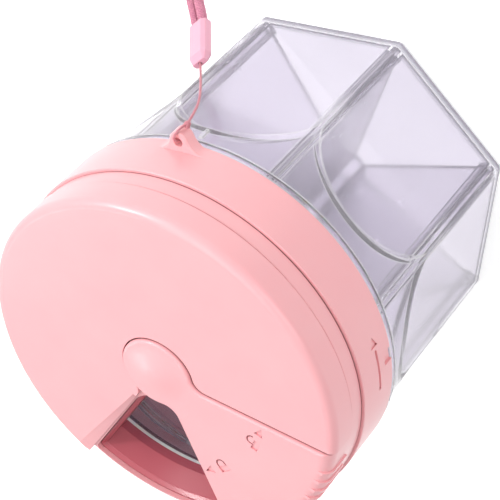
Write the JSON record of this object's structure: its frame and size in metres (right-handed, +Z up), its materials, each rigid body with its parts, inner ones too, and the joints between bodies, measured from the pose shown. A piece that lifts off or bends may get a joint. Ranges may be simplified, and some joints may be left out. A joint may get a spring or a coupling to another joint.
{
  "type": "pill organizer",
  "caption": "Clear faceted pill jar with a quick-thread lid, a turning selector dial, a swivel cover over the outlet, and a wrist strap.",
  "frame": {"origin": "centre of the jar's flat underside", "axes": "+Z up along the jar's axis, -Y towards the first compartment, its alignment rib and the strap tab"},
  "size_m": [0.1304, 0.1452, 0.1014],
  "materials": {
    "clear_plastic": "clear",
    "divider_plastic": "clear",
    "lid_plastic": "satin",
    "chute_plastic": "satin",
    "white_plastic": "satin",
    "silicone": "matte",
    "spring_steel": "brushed",
    "bead_plastic": "satin",
    "string": "twisted",
    "strap": "braided"
  },
  "bodies": {
    "jar": {"jar_shell": "clear_plastic", "divider_insert": "divider_plastic"},
    "lift_ring": {"neck_gasket": "silicone"},
    "lid": {"collar": "lid_plastic", "slip_ring": "white_plastic", "string_hitch": "string", "string_knot": "string", "string_run": "string", "bead": "bead_plastic", "stopper_knot": "string", "strap_loop": "strap"},
    "selector": {"dial": "lid_plastic", "outlet_chute": "chute_plastic", "selector_plate": "white_plastic", "seal_pad": "silicone", "click_spring": "spring_steel", "screw_washer": "spring_steel", "centre_screw": "spring_steel"},
    "shutter": {"cover": "lid_plastic", "outlet_seal": "silicone"}
  },
  "joints": [
    {"name": "lid_lift", "type": "slide", "parent": "jar", "child": "lift_ring", "axis": [0, 0, 1], "range_m": [0, 0.018]},
    {"name": "lid_turn", "type": "hinge", "parent": "lift_ring", "child": "lid", "pos_m": [0, 0, 0.08], "axis": [0, 0, 1], "range_deg": [0, 180]},
    {"name": "compartment_select", "type": "hinge", "parent": "lid", "child": "selector", "pos_m": [0, 0, 0.09], "axis": [0, 0, 1], "continuous": true},
    {"name": "outlet_cover", "type": "hinge", "parent": "selector", "child": "shutter", "pos_m": [0, 0, 0.095], "axis": [0, 0, 1], "range_deg": [0, 53.6]}
  ],
  "couplings": [
    {"joint": "lid_turn", "follows": "lid_lift", "rad_per_m": 174.53}
  ]
}
